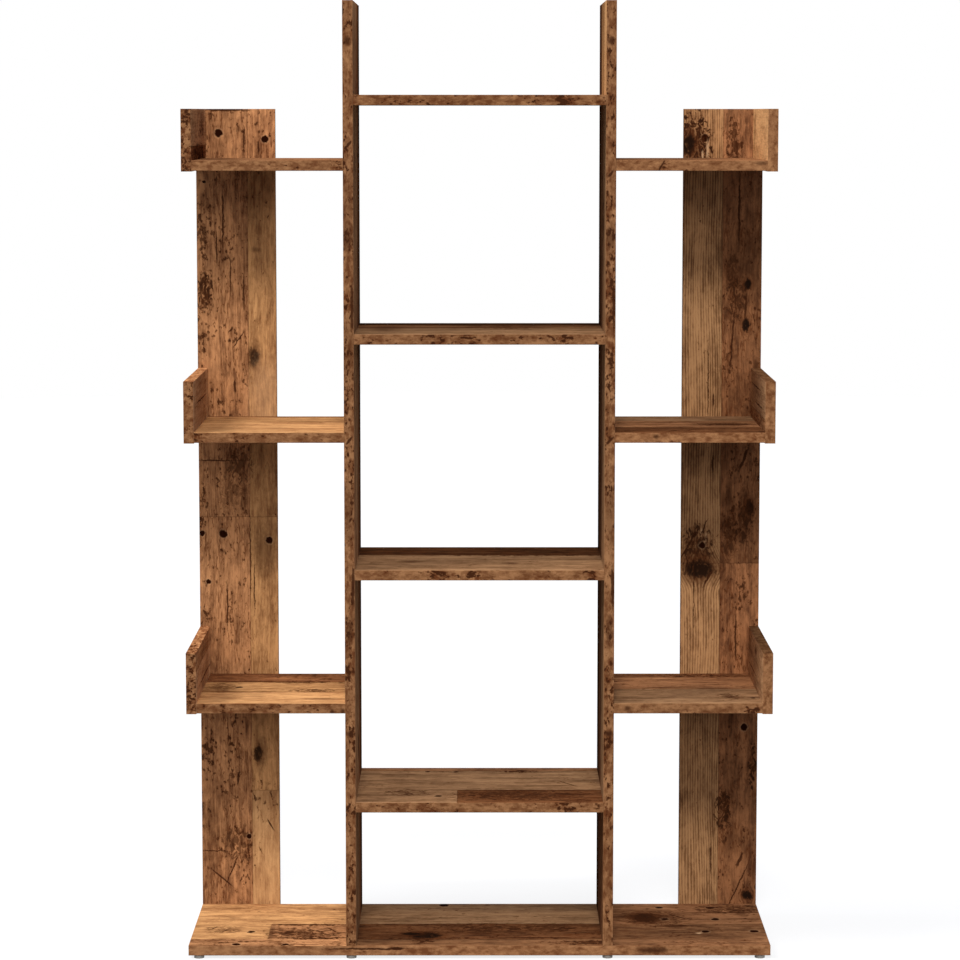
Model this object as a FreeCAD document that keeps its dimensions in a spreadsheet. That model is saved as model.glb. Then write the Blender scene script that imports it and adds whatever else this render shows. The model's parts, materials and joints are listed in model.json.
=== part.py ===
import FreeCAD, Part
import os
import Sketcher

# Free-standing bookcase of printed chipboard, in millimetres.
# X runs to the right, Y to the back and Z up. The origin lies on the floor, below the middle of the whole.
#
# A base board carries two tall dividers. Four centre shelves span the gap between them, and three shelves
# stand out from each divider to the side. An upright guard closes the outer end of each side shelf, and a
# strip behind each side ties the base, the shelves and the guards together.

CENTRE_SHELVES = 4
SIDES = {"left": -1, "right": 1}
ROWS = {"front": -1, "back": 1}
COUNTERSINK_ANGLE = 90

SIZES = {
    # Boards
    "board_thick": 15,
    "board_depth": 240,
    "edge_radius": 0.8,
    # Clear widths between upright faces
    "centre_width": 364,
    "side_width": 218,
    # Clear heights in the centre, and what the dividers rise above the top shelf
    "centre_first_bay": 200,
    "centre_pitch": 345,
    "divider_rise": 135,
    # Clear heights at the sides
    "side_first_bay": 348,
    "side_second_bay": 384,
    "side_third_bay": 379,
    # Guards at the ends of the side shelves, which reach a little below the shelf
    "guard_height": 90,
    "guard_drop": 1,
    # Strips behind the sides
    "strip_width": 120,
    # Round glides under the base, with the distance from its ends and from its long edges to their middle
    "glide_diameter": 15,
    "glide_height": 5,
    "glide_end_inset": 15,
    "glide_edge_inset": 9,
    # Screws up through the base into the dividers, with their distance from the front and back edges
    "base_screw_length": 50,
    "base_screw_diameter": 6,
    "base_screw_head": 10,
    "base_screw_inset": 40,
    # Screws forward through the strips into the base and the side shelves
    "strip_screw_length": 40,
    "strip_screw_diameter": 4,
    "strip_screw_head": 8,
    # What both kinds of screw share: the socket for one key, and the room round them and at their tips
    "socket_width": 4,
    "socket_depth": 2.5,
    "screw_clearance": 0.1,
    "screw_tip_gap": 2,
}

pieces = []
doc = FreeCAD.newDocument("Bookcase")
sheet = doc.addObject("Spreadsheet::Sheet", "Sizes")
for row, (alias, value) in enumerate(SIZES.items(), start=1):
    sheet.set(f"A{row}", alias)
    sheet.set(f"B{row}", str(value))
    sheet.setAlias(f"B{row}", alias)
doc.recompute()

# Every size and place below is an expression on the sheet
THICK = "Sizes.board_thick"
DEPTH = "Sizes.board_depth"
HALF_THICK = f"{THICK} / 2"
HALF_DEPTH = f"{DEPTH} / 2"

# Heights of the undersides of the boards
BASE_LEVEL = "Sizes.glide_height"
BASE_TOP = f"{BASE_LEVEL} + {THICK}"
CENTRE_LEVELS = [
    f"{BASE_TOP} + Sizes.centre_first_bay + {step} * Sizes.centre_pitch" for step in range(CENTRE_SHELVES)
]
SIDE_LEVELS = []
board_below = BASE_LEVEL
for bay in ("side_first_bay", "side_second_bay", "side_third_bay"):
    board_below = f"{board_below} + {THICK} + Sizes.{bay}"
    SIDE_LEVELS.append(board_below)
STRIP_SCREW_LEVELS = [BASE_LEVEL] + SIDE_LEVELS

# Heights of the upright boards: the strips end level with the highest guards
DIVIDER_HEIGHT = f"{CENTRE_LEVELS[-1]} + {THICK} + Sizes.divider_rise - ({BASE_TOP})"
STRIP_HEIGHT = f"{SIDE_LEVELS[-1]} - Sizes.guard_drop + Sizes.guard_height - {BASE_LEVEL}"

# Distances across from the middle of the bookcase
DIVIDER_X = f"(Sizes.centre_width + {THICK}) / 2"
SIDE_SHELF_X = f"(Sizes.centre_width / 2 + {THICK} + Sizes.side_width / 2)"
GUARD_X = f"(Sizes.centre_width / 2 + {THICK} * 3 / 2 + Sizes.side_width)"
BASE_END_X = f"({GUARD_X} + {HALF_THICK})"
STRIP_X = f"({BASE_END_X} - Sizes.strip_width / 2)"
GLIDE_END_X = f"({BASE_END_X} - Sizes.glide_end_inset)"

# The other boards lie in front of the strips, and the two together are centred front to back
BOARD_Y = f"(-{HALF_THICK})"
STRIP_Y = HALF_DEPTH

# Places of the base screws front to back, from the middle of a board's depth
SCREW_REACH = f"({HALF_DEPTH} - Sizes.base_screw_inset)"
BASE_SCREW_YS = [f"-{SCREW_REACH}", SCREW_REACH]


def put(item, x, y, z):
    """Bind an object's place to expressions."""
    item.setExpression(".Placement.Base.x", x)
    item.setExpression(".Placement.Base.y", y)
    item.setExpression(".Placement.Base.z", z)


def new_sketch(body, name, role, offset=None):
    """Add a sketch on one of the body's own planes, moved along the plane's normal by an expression."""
    sketch = body.newObject("Sketcher::SketchObject", f"{body.Name}_{name}")
    plane = [feature for feature in body.Origin.OriginFeatures if feature.Role == role][0]
    sketch.AttachmentSupport = [(plane, "")]
    sketch.MapMode = "FlatFace"
    if offset:
        sketch.setExpression(".AttachmentOffset.Base.z", offset)
    return sketch


def bind(sketch, kind, name, places, expression):
    """Add a named constraint whose value follows an expression."""
    start_value = 1
    index = sketch.addConstraint(Sketcher.Constraint(kind, *places, start_value))
    sketch.renameConstraint(index, name)
    sketch.setExpression(f"Constraints.{name}", expression)


def bind_point(sketch, element, point, across, up):
    """Bind a point of an element to two expressions. A zero puts it on the sketch's own axis instead."""
    if across == "0":
        sketch.addConstraint(Sketcher.Constraint("PointOnObject", element, point, -2))
    else:
        bind(sketch, "DistanceX", f"across{element}", (-1, 1, element, point), across)
    if up == "0":
        sketch.addConstraint(Sketcher.Constraint("PointOnObject", element, point, -1))
    else:
        bind(sketch, "DistanceY", f"up{element}", (-1, 1, element, point), up)


def draw_loop(sketch, corners):
    """Draw a closed loop of lines from rough corners, joined end to end. Constraints then give its size."""
    count = len(corners)
    for side in range(count):
        start, end = corners[side], corners[(side + 1) % count]
        sketch.addGeometry(Part.LineSegment(FreeCAD.Vector(*start), FreeCAD.Vector(*end)), False)
    for side in range(count):
        sketch.addConstraint(Sketcher.Constraint("Coincident", side, 2, (side + 1) % count, 1))


def draw_rectangle(sketch, width, depth):
    """Draw a rectangle centred on the sketch's origin."""
    draw_loop(sketch, [(-1, -1), (1, -1), (1, 1), (-1, 1)])
    for side in range(4):
        sketch.addConstraint(Sketcher.Constraint("Vertical" if side % 2 else "Horizontal", side))
    sketch.addConstraint(Sketcher.Constraint("Symmetric", 0, 1, 2, 1, -1, 1))
    bind(sketch, "DistanceX", "width", (0, 1, 0, 2), width)
    bind(sketch, "DistanceY", "depth", (1, 1, 1, 2), depth)


def draw_circles(sketch, centres, diameter):
    """Draw circles of one diameter about centres given as pairs of expressions."""
    for number, (across, up) in enumerate(centres):
        circle = Part.Circle(FreeCAD.Vector(number, number), FreeCAD.Vector(0, 0, 1), 1)
        sketch.addGeometry(circle, False)
        bind_point(sketch, number, 3, across, up)
        bind(sketch, "Diameter", f"diameter{number}", (number,), diameter)


def draw_hexagon(sketch, width):
    """Draw a regular hexagon about the sketch's origin, with the given width across its flats."""
    sides = 6
    turn = FreeCAD.Rotation(FreeCAD.Vector(0, 0, 1), 360 / sides)
    corner = FreeCAD.Vector(1, 0, 0)
    corners = []
    for side in range(sides):
        corners.append(tuple(corner))
        corner = turn.multVec(corner)
    draw_loop(sketch, corners)
    sketch.addGeometry(Part.Circle(FreeCAD.Vector(), FreeCAD.Vector(0, 0, 1), 1), True)
    sketch.addConstraint(Sketcher.Constraint("Coincident", sides, 3, -1, 1))
    for side in range(sides):
        sketch.addConstraint(Sketcher.Constraint("PointOnObject", side, 1, sides))
    for side in range(1, sides):
        sketch.addConstraint(Sketcher.Constraint("Equal", 0, side))
    sketch.addConstraint(Sketcher.Constraint("PointOnObject", 0, 1, -1))
    bind(sketch, "Diameter", "corners", (sides,), f"{width} / cos(180 deg / {sides})")


def cut(body, feature):
    """Recompute, and stop if the feature took nothing away from the body."""
    volume_before = feature.BaseFeature.Shape.Volume
    doc.recompute()
    if not body.Shape.Volume < volume_before:
        raise RuntimeError(f"{feature.Name} cuts nothing")


def round_long_edges(body, pad, facing):
    """Round the two long edges of the face that looks along Y to the front (-1) or the back (1)."""
    doc.recompute()
    box = pad.Shape.BoundBox
    face_y = box.YMin if facing < 0 else box.YMax
    on_face = [
        (edge.Length, f"Edge{number}")
        for number, edge in enumerate(pad.Shape.Edges, start=1)
        if all(abs(vertex.Y - face_y) < edge.Length / 1000 for vertex in edge.Vertexes)
    ]
    longest = sorted(on_face)[-2:]
    fillet = body.newObject("PartDesign::Fillet", f"{body.Name}_Rounding")
    fillet.Base = (pad, [name for length, name in longest])
    fillet.setExpression("Radius", "Sizes.edge_radius")


def add_board(name, width, depth, height, place, facing=-1):
    """Make a board from a rectangle on the ground plane, padded up to its height."""
    body = doc.addObject("PartDesign::Body", name)
    outline = new_sketch(body, "Outline", "XY_Plane")
    draw_rectangle(outline, width, depth)
    pad = body.newObject("PartDesign::Pad", f"{name}_Pad")
    pad.Profile = outline
    pad.setExpression("Length", height)
    round_long_edges(body, pad, facing)
    put(body, *place)
    pieces.append(body)
    return body


def bore(board, name, role, offset, along_normal, centres, screw, blind):
    """Bore for screws of one kind: a countersunk hole right through, or a blind one for their ends."""
    centre_sketch = new_sketch(board, f"{name}_Centres", role, offset)
    diameter = f"Sizes.{screw}_diameter + 2 * Sizes.screw_clearance"
    draw_circles(centre_sketch, centres, diameter)
    doc.recompute()
    hole = board.newObject("PartDesign::Hole", f"{board.Name}_{name}_Holes")
    hole.Profile = centre_sketch
    hole.Reversed = along_normal
    hole.setExpression("Diameter", diameter)
    if blind:
        hole.DepthType = "Dimension"
        hole.DrillPoint = "Flat"
        hole.setExpression("Depth", f"Sizes.{screw}_length - {THICK} + Sizes.screw_tip_gap")
    else:
        hole.DepthType = "ThroughAll"
        hole.HoleCutType = "Countersink"
        hole.setExpression("HoleCutDiameter", f"Sizes.{screw}_head + 2 * Sizes.screw_clearance")
        hole.HoleCutCountersinkAngle = COUNTERSINK_ANGLE
    cut(board, hole)


def bore_back_edge(board, across):
    """Bore a board's back edge for the screws that come through the strips."""
    centres = [(x, HALF_THICK) for x in across]
    bore(board, "Strip", "XZ_Plane", f"-{HALF_DEPTH}", True, centres, "strip_screw", blind=True)


def add_base():
    """The base board, bored from below for the dividers and from behind for the strips."""
    base = add_board("base_panel", f"2 * {BASE_END_X}", DEPTH, THICK, ("0", BOARD_Y, BASE_LEVEL))
    centres = [(f"{side} * {DIVIDER_X}", y) for side in SIDES.values() for y in BASE_SCREW_YS]
    bore(base, "Divider", "XY_Plane", None, True, centres, "base_screw", blind=False)
    bore_back_edge(base, [f"{side} * {STRIP_X}" for side in SIDES.values()])


def add_divider(label, side):
    """A divider, bored from below where it stands on the base."""
    place = (f"{side} * {DIVIDER_X}", BOARD_Y, BASE_TOP)
    divider = add_board(f"{label}_divider", THICK, DEPTH, DIVIDER_HEIGHT, place)
    centres = [("0", y) for y in BASE_SCREW_YS]
    bore(divider, "Base", "XY_Plane", None, True, centres, "base_screw", blind=True)


def add_centre_shelf(number, level):
    """A shelf between the dividers, held by fittings that stay inside the boards."""
    add_board(f"centre_shelf_{number}", "Sizes.centre_width", DEPTH, THICK, ("0", BOARD_Y, level))


def add_side_shelf(label, side, number, level):
    """A shelf between a divider and a guard, screwed to the strip behind it."""
    place = (f"{side} * {SIDE_SHELF_X}", BOARD_Y, level)
    shelf = add_board(f"{label}_shelf_{number}", "Sizes.side_width", DEPTH, THICK, place)
    bore_back_edge(shelf, [f"{side} * ({STRIP_X} - {SIDE_SHELF_X})"])


def add_guard(label, side, number, level):
    """A guard that stands upright at the outer end of a side shelf."""
    place = (f"{side} * {GUARD_X}", BOARD_Y, f"{level} - Sizes.guard_drop")
    add_board(f"{label}_guard_{number}", THICK, DEPTH, "Sizes.guard_height", place)


def add_strip(label, side):
    """A strip from the underside of the base to the top of the highest guard, bored from behind."""
    place = (f"{side} * {STRIP_X}", STRIP_Y, BASE_LEVEL)
    strip = add_board(f"{label}_back_strip", "Sizes.strip_width", THICK, STRIP_HEIGHT, place, facing=1)
    centres = [("0", f"{level} + {HALF_THICK} - {BASE_LEVEL}") for level in STRIP_SCREW_LEVELS]
    bore(strip, "Screw", "XZ_Plane", f"-{HALF_THICK}", True, centres, "strip_screw", blind=False)


def add_set(name, members):
    """Keep small pieces of one kind together as a set."""
    group = doc.addObject("Part::Compound", name)
    group.Links = members
    pieces.append(group)


def make_glide(name, x, y):
    """A round glide that stands on the floor under the base."""
    body = doc.addObject("PartDesign::Body", name)
    outline = new_sketch(body, "Outline", "XY_Plane")
    draw_circles(outline, [("0", "0")], "Sizes.glide_diameter")
    pad = body.newObject("PartDesign::Pad", f"{name}_Pad")
    pad.Profile = outline
    pad.setExpression("Length", BASE_LEVEL)
    put(body, x, f"{y} + {BOARD_Y}", "0")
    return body


def add_glides(name, side, y):
    """The glides under one end of the base and under the divider beside it."""
    across = {"end": f"{side} * {GLIDE_END_X}", "divider": f"{side} * {DIVIDER_X}"}
    add_set(name, [make_glide(f"{name}_{place}", x, y) for place, x in across.items()])


def draw_screw_outline(sketch, screw):
    """Draw half of a screw's length section, with the axis upright and the head at the bottom."""
    shank = f"Sizes.{screw}_diameter / 2"
    head = f"Sizes.{screw}_head / 2"
    length = f"Sizes.{screw}_length"
    outline = [("0", "0"), (head, "0"), (shank, f"{head} - {shank}"), (shank, length), ("0", length)]
    draw_loop(sketch, [(across != "0", number) for number, (across, up) in enumerate(outline)])
    for number, (across, up) in enumerate(outline):
        bind_point(sketch, number, 1, across, up)


def make_screw(name, screw, rotation, place):
    """A countersunk screw with a hexagon socket. It points up before it is turned."""
    body = doc.addObject("PartDesign::Body", name)
    outline = new_sketch(body, "Outline", "XZ_Plane")
    draw_screw_outline(outline, screw)
    turned = body.newObject("PartDesign::Revolution", f"{name}_Turned")
    turned.Profile = outline
    turned.ReferenceAxis = (outline, ["V_Axis"])
    hexagon = new_sketch(body, "Hexagon", "XY_Plane")
    draw_hexagon(hexagon, "Sizes.socket_width")
    doc.recompute()
    socket = body.newObject("PartDesign::Pocket", f"{name}_Socket")
    socket.Profile = hexagon
    socket.Reversed = True
    socket.setExpression("Length", "Sizes.socket_depth")
    cut(body, socket)
    body.Placement.Rotation = rotation
    put(body, *place)
    return body


def add_screws(name, screw, rotation, places):
    """The screws that hold one board."""
    numbered = enumerate(places, start=1)
    add_set(name, [make_screw(f"{name}_{number}", screw, rotation, place) for number, place in numbered])


def add_side(label, side):
    """Everything on one side of the centre shelves."""
    upward = FreeCAD.Rotation()
    forward = FreeCAD.Rotation(FreeCAD.Vector(0, 0, 1), FreeCAD.Vector(0, -1, 0))
    divider_x = f"{side} * {DIVIDER_X}"
    strip_x = f"{side} * {STRIP_X}"
    strip_back = f"{STRIP_Y} + {HALF_THICK}"
    add_divider(label, side)
    for number, level in enumerate(SIDE_LEVELS, start=1):
        add_side_shelf(label, side, number, level)
        add_guard(label, side, number, level)
    add_strip(label, side)
    divider_places = [(divider_x, f"{y} + {BOARD_Y}", BASE_LEVEL) for y in BASE_SCREW_YS]
    add_screws(f"{label}_divider_screws", "base_screw", upward, divider_places)
    strip_places = [(strip_x, strip_back, f"{level} + {HALF_THICK}") for level in STRIP_SCREW_LEVELS]
    add_screws(f"{label}_strip_screws", "strip_screw", forward, strip_places)
    for row_name, row in ROWS.items():
        add_glides(f"{label}_{row_name}_glides", side, f"{row} * ({HALF_DEPTH} - Sizes.glide_edge_inset)")


def build_bookcase():
    """Make every board, glide and set of screws."""
    add_base()
    for number, level in enumerate(CENTRE_LEVELS, start=1):
        add_centre_shelf(number, level)
    for label, side in SIDES.items():
        add_side(label, side)


def check_and_export():
    """Stop on any failed object or unsound shape, then write one file for each piece."""
    doc.recompute()
    for item in doc.Objects:
        if "Invalid" in item.State or "Error" in item.State:
            raise RuntimeError(f"{item.Name} failed: {item.State}")
    for piece in pieces:
        if piece.Shape.isNull() or not piece.Shape.isValid() or not piece.Shape.Solids:
            raise RuntimeError(f"{piece.Label} has no sound shape")
    os.makedirs("parts", exist_ok=True)
    for piece in pieces:
        piece.Shape.exportStep(f"parts/{piece.Label}.step")
    print(f"{len(pieces)} pieces, {sum(len(piece.Shape.Solids) for piece in pieces)} solids")


build_bookcase()
check_and_export()
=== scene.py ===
import json
from collections import namedtuple
from math import cos, pi, radians, sin

import bmesh
import bpy
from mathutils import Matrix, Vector

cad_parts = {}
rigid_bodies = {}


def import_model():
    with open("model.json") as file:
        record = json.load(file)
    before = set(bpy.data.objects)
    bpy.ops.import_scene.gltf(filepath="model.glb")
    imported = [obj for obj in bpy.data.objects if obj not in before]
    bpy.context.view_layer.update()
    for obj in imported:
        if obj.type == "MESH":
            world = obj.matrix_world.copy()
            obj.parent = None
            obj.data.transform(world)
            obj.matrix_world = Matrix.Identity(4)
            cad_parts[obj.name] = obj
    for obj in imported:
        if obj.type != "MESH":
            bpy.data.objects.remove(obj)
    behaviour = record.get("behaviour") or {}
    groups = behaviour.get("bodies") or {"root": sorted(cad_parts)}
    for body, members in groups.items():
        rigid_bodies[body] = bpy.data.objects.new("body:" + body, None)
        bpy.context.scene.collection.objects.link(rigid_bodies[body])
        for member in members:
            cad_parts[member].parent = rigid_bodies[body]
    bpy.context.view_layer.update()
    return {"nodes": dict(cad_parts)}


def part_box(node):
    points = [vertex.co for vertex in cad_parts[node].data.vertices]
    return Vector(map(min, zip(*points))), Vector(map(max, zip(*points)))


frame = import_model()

MM = 0.001
AXES = "xyz"

# The camera stands before the bookcase, a little under its top, and looks slightly down.
CAMERA_AHEAD = 4422 * MM
CAMERA_HEIGHT = 1245 * MM
CAMERA_SIDE = -4 * MM
CAMERA_TILT = 5.785
CAMERA_TURN = 0.061
LENS = 114.8
SENSOR = 36.0
LENS_SHIFT = -0.06

# Directions are degrees: azimuth from the front towards the right, elevation above the floor.
# Width is the angle that the lamp fills, which makes its shadows soft. A lamp with a distance stands
# that many metres from the foot of the bookcase. The others are suns, whose distance changes nothing.
Lamp = namedtuple("Lamp", "name azimuth elevation width level distance", defaults=(None,))
LAMPS = [
    Lamp("front_softbox", -2, 44.5, 13, 1.95, 6.9),
    Lamp("front_low", 2, 17, 14, 0.55),
    Lamp("left_softbox", -76, 52, 26, 2.4),
    Lamp("right_fill", 96, 4, 10, 0.8),
    Lamp("back_fill", 178, 10, 30, 1.6),
]
SUN_DISTANCE = 5.0
ROOM_LEVEL = 0.27
ROOM_COLOUR = (0.96, 1.05, 1.36, 1.0)
WHITE = (1.0, 1.0, 1.0, 1.0)
FLOOR_RADIUS = 9.0
FLOOR_SEGMENTS = 96
FLOOR_GREY = 0.2
FLOOR_GLOW = 0.8


def tone(red, green, blue):
    """A colour of 0 to 255 a channel, as the linear colour that shaders take."""
    linear = []
    for channel in (red, green, blue):
        part = channel / 255
        linear.append(part / 12.92 if part <= 0.04045 else ((part + 0.055) / 1.055) ** 2.4)
    return (*linear, 1.0)


def lit(colour, light):
    """A colour made lighter or darker."""
    return (*(channel * light for channel in colour[:3]), 1.0)


# A plank style: the pale and dark wood, and how strong its growth lines, cracks, pits and stains are.
Style = namedtuple("Style", "pale dark rings cracks pits stains")
TAN = Style(tone(208, 154, 100), tone(134, 90, 55), 0.25, 0.35, 0.15, 0.25)
HONEY = Style(tone(212, 158, 104), tone(148, 100, 62), 0.2, 0.2, 0.1, 0.1)
BLOND = Style(tone(222, 170, 115), tone(170, 121, 78), 0.2, 0.2, 0.1, 0.1)
BISQUE = Style(tone(200, 158, 118), tone(146, 108, 76), 0.2, 0.3, 0.15, 0.3)
DUSK = Style(tone(178, 134, 94), tone(118, 84, 57), 0.25, 0.4, 0.2, 0.4)
LINED = Style(tone(184, 137, 92), tone(112, 76, 48), 1.5, 0.15, 0.1, 0.15)
RED = Style(tone(188, 133, 88), tone(102, 64, 40), 0.2, 0.9, 0.5, 0.4)
BROWN = Style(tone(162, 112, 74), tone(92, 59, 38), 0.2, 0.6, 0.3, 0.5)
RUST = Style(tone(155, 103, 66), tone(84, 51, 32), 0.15, 0.9, 0.5, 0.6)
UMBER = Style(tone(130, 83, 51), tone(60, 35, 22), 0.2, 1.0, 0.5, 0.5)

BAND_PALE = tone(158, 112, 74)
BAND_DARK = tone(102, 62, 36)
BAND_RUST = tone(88, 44, 21)

INK = tone(38, 15, 6)
PIT_BROWN = tone(62, 33, 17)
KNOT_BROWN = tone(54, 31, 18)
KNOT_BLACK = tone(30, 19, 13)
BURL_BROWN = tone(76, 42, 22)
SPLIT_BROWN = tone(60, 31, 16)
CRACK_BROWN = tone(94, 50, 25)
# Stain brown colours the real stains and also the painted shadow on the right strip.
STAIN_AND_SHADE_BROWN = tone(66, 37, 21)
PALE_CHIP = tone(222, 178, 132)

# A plank covers a range across and along its board, in millimetres of the frame; None is the whole range.
# Its light makes the tones of its style lighter or darker. With a side it is laid only on the broad face
# that looks that way along the axis through the board; the dark one-sided planks on the dividers' inner
# faces and on the tops of centre shelves 2 and 3 are painted shade.
Plank = namedtuple("Plank", "style across along light side", defaults=(None, None, 1.0, 0))
# A mark is an oval on the board's broad faces. It reaches out from its middle by its two half sizes,
# and its turn is in degrees.
Mark = namedtuple("Mark", "kind across along half_across half_along strength turn", defaults=(0.0,))
# A patch is an oval where the wood is worm-eaten: its pits are denser by the strength.
Patch = namedtuple("Patch", "across along half_across half_along strength")
# The banding on a board's narrow faces: its light, its pits, its own marks and patches, and its cap, which
# paints light (over 1) or shade (under 1) on its upward faces beside the others.
Band = namedtuple("Band", "light pits marks patches cap", defaults=(1.0, 0.6, (), (), 1.0))
# A board: the axis its grain follows, the axis across it, its planks, its marks and its banding.
Board = namedtuple("Board", "along across planks marks patches band", defaults=((), (), Band()))


def nail(across, along, radius):
    return Mark("nail", across, along, radius, radius, 1.0)


def knot(across, along, half_across, half_along, strength=1.0):
    return Mark("knot", across, along, half_across, half_along, strength)


def burl(across, along, half_across, half_along, strength=0.9):
    return Mark("burl", across, along, half_across, half_along, strength)


def crack(across, along, half_along, half_across=1.0, turn=0.0):
    return Mark("crack", across, along, half_across, half_along, 0.9, turn)


def stain(across, along, half_across, half_along, strength=0.5):
    return Mark("stain", across, along, half_across, half_along, strength)


def chip(across, along, half_across, half_along, strength=0.7):
    return Mark("chip", across, along, half_across, half_along, strength)


def span_of(node, axis):
    """The two ends of a board along an axis of the frame, in millimetres."""
    low, high = (corner[AXES.index(axis)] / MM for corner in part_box(node))
    return low, high


def middle_of(node, axis):
    low, high = span_of(node, axis)
    return (low + high) / 2


SIDE_LEVELS = [middle_of(f"left_shelf_{number}", "z") for number in (1, 2, 3)]
CENTRE_LEVELS = [middle_of(f"centre_shelf_{number}", "z") for number in (1, 2, 3, 4)]
DIVIDER_MIDDLE = middle_of("right_divider", "x")
SHELF_HALF = SIDE_LEVELS[0] - span_of("left_shelf_1", "z")[0]

# The places of planks and marks are millimetres of the frame, judged from the photograph. A plank
# that reaches an edge of its board ends past it, at one of these limits beyond all boards.
END = 440
FRONT = -140
BACK = 130
FOOT = 0
TOP = 1410
LEFT_SPAN = (-END, -DIVIDER_MIDDLE)
CENTRE_SPAN = (-DIVIDER_MIDDLE, DIVIDER_MIDDLE)
RIGHT_SPAN = (DIVIDER_MIDDLE, END)

# The planks of the back strips meet at one upright seam and change behind the side shelves.
STRIP_INNER = 300
LEFT_SEAM = -352
RIGHT_SEAM = 370
LEFT_OUTER = (-END, LEFT_SEAM)
LEFT_INNER = (LEFT_SEAM, -STRIP_INNER)
RIGHT_INNER = (STRIP_INNER, RIGHT_SEAM)
RIGHT_OUTER = (RIGHT_SEAM, END)
FIRST_FOOT = SIDE_LEVELS[0] - SHELF_HALF
ABOVE_THIRD = (SIDE_LEVELS[2] - SHELF_HALF, TOP)


def worn(level, along, half_along, strength=1.0):
    """A worm-eaten length of banding."""
    return Patch(level, along, SHELF_HALF + 2, half_along, strength)


LEFT_STRIP = Board("z", "x", planks=[
    Plank(RED, light=1.03),
    Plank(RED, LEFT_OUTER, ABOVE_THIRD, 1.18),
    Plank(TAN, LEFT_INNER, light=0.95),
    Plank(RED, LEFT_INNER, ABOVE_THIRD, 1.3),
    Plank(RED, LEFT_OUTER, (627, 714)),
    Plank(TAN, LEFT_INNER, (627, 740), 0.87),
    Plank(TAN, LEFT_INNER, (FIRST_FOOT, 627), 0.84),
    Plank(BLOND, LEFT_INNER, (FOOT, 200), 0.8),
], marks=[
    nail(-395, 1213, 5.5), nail(-325, 1204, 5), nail(-393, 600, 5.5), nail(-323, 591, 5),
    knot(-344, 872, 8, 15, 0.7), stain(-342, 874, 10, 20, 0.5),
    knot(-342, 258, 7, 13, 0.75), stain(-338, 258, 9, 26, 0.6),
    crack(-390, 1085, 42, 1.3), crack(-400, 1040, 24), crack(-335, 1192, 9, 1.5),
    crack(-374, 829, 10, 1.8), crack(-388, 490, 36), crack(-374, 217, 9, 1.8),
    crack(-357, 1205, 20, 1.2), crack(-359, 972, 24, 1.2), crack(-367, 900, 14, 1.1, 35),
    # The broad pale mark at (-326, 812) lightens the strip just above the middle left shelf.
    chip(-326, 812, 26, 50, 0.25),
    crack(-385, 1248.5, 2.2, 33), crack(-406, 714, 0.9, 24), crack(-411, 104, 0.9, 18),
    crack(-324, 146, 10, 1.2, -30), crack(-383, 76, 26, 1.2, 24), crack(-400, 62, 20, 1.2, -50),
    crack(-352, 560, 60, 0.8), crack(-346, 520, 40, 0.8), crack(-379, 1000, 30, 0.8),
    burl(-368, 706, 18, 26, 0.6), burl(-376, 664, 20, 24, 0.4), stain(-330, 574, 20, 40, 0.6),
    burl(-372, 112, 20, 30, 0.6), burl(-417, 975, 12, 26, 0.9),
    stain(-340, 1037, 7, 4, 0.5), stain(-366, 1220, 4, 4, 0.5), stain(-341, 1100, 14, 120, 0.16),
    nail(-418, 1140, 2.5), nail(-357, 127, 3.5), nail(-417, 527, 3.5), nail(-426, 602, 4),
], patches=[
    Patch(-424, 1060, 12, 60, 0.9), Patch(-418, 975, 14, 34, 1.0), Patch(-425, 905, 10, 60, 0.9),
    Patch(-418, 480, 16, 26, 0.8), Patch(-419, 250, 14, 56, 1.0), Patch(-370, 105, 24, 44, 0.75),
    Patch(-424, 640, 10, 60, 0.8), Patch(-378, 790, 30, 60, 0.5), Patch(-350, 180, 44, 60, 0.5),
])

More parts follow.
